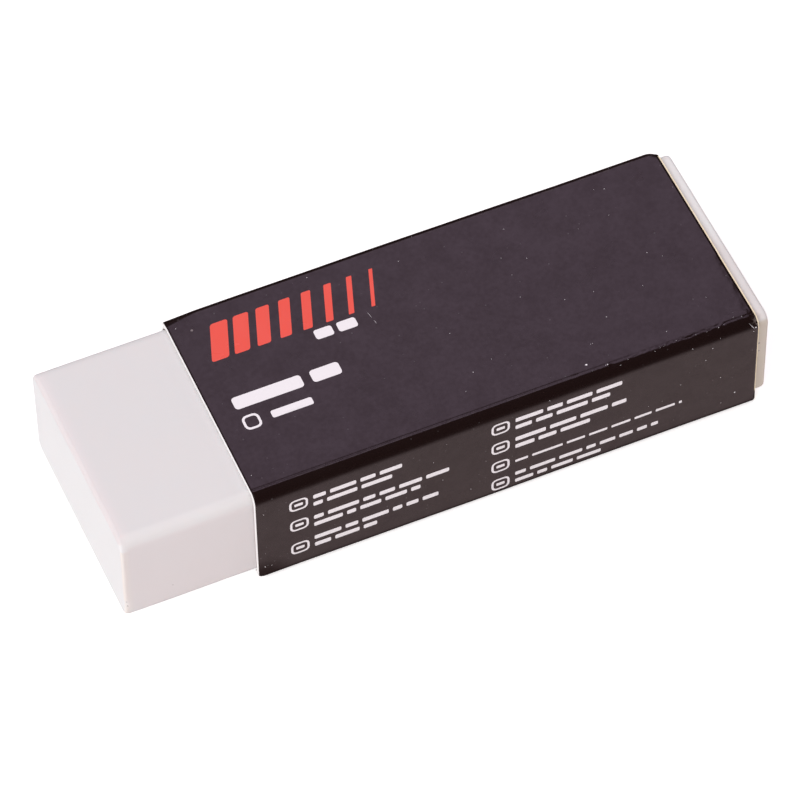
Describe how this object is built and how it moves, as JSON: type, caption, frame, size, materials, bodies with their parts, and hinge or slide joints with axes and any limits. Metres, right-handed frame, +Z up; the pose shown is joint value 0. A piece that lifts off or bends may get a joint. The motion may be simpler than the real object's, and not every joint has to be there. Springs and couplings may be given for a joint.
{
  "type": "block eraser in a card sleeve",
  "caption": "White vinyl block eraser held snugly in a folded black card sleeve that is open at both ends and slides along the block.",
  "frame": {"origin": "bottom centre of the whole object: on the surface it rests on, at the middle of the block's length and width", "axes": "+X along the block's length, towards the end where the block stands out of the sleeve only a little; +Y across the width, away from the pictured front; +Z up"},
  "size_m": [0.065, 0.023, 0.0126],
  "materials": {
    "vinyl": "soft matte white vinyl",
    "card": "solid white sleeve board, printed black under a semi-gloss varnish"
  },
  "bodies": {
    "block": {"eraser_block": "vinyl"},
    "sleeve": {"card_sleeve": "card"}
  },
  "joints": [
    {"name": "sleeve_slide", "type": "slide", "parent": "block", "child": "sleeve", "axis": [1, 0, 0], "range_m": [-0.064, 0.0525]}
  ]
}
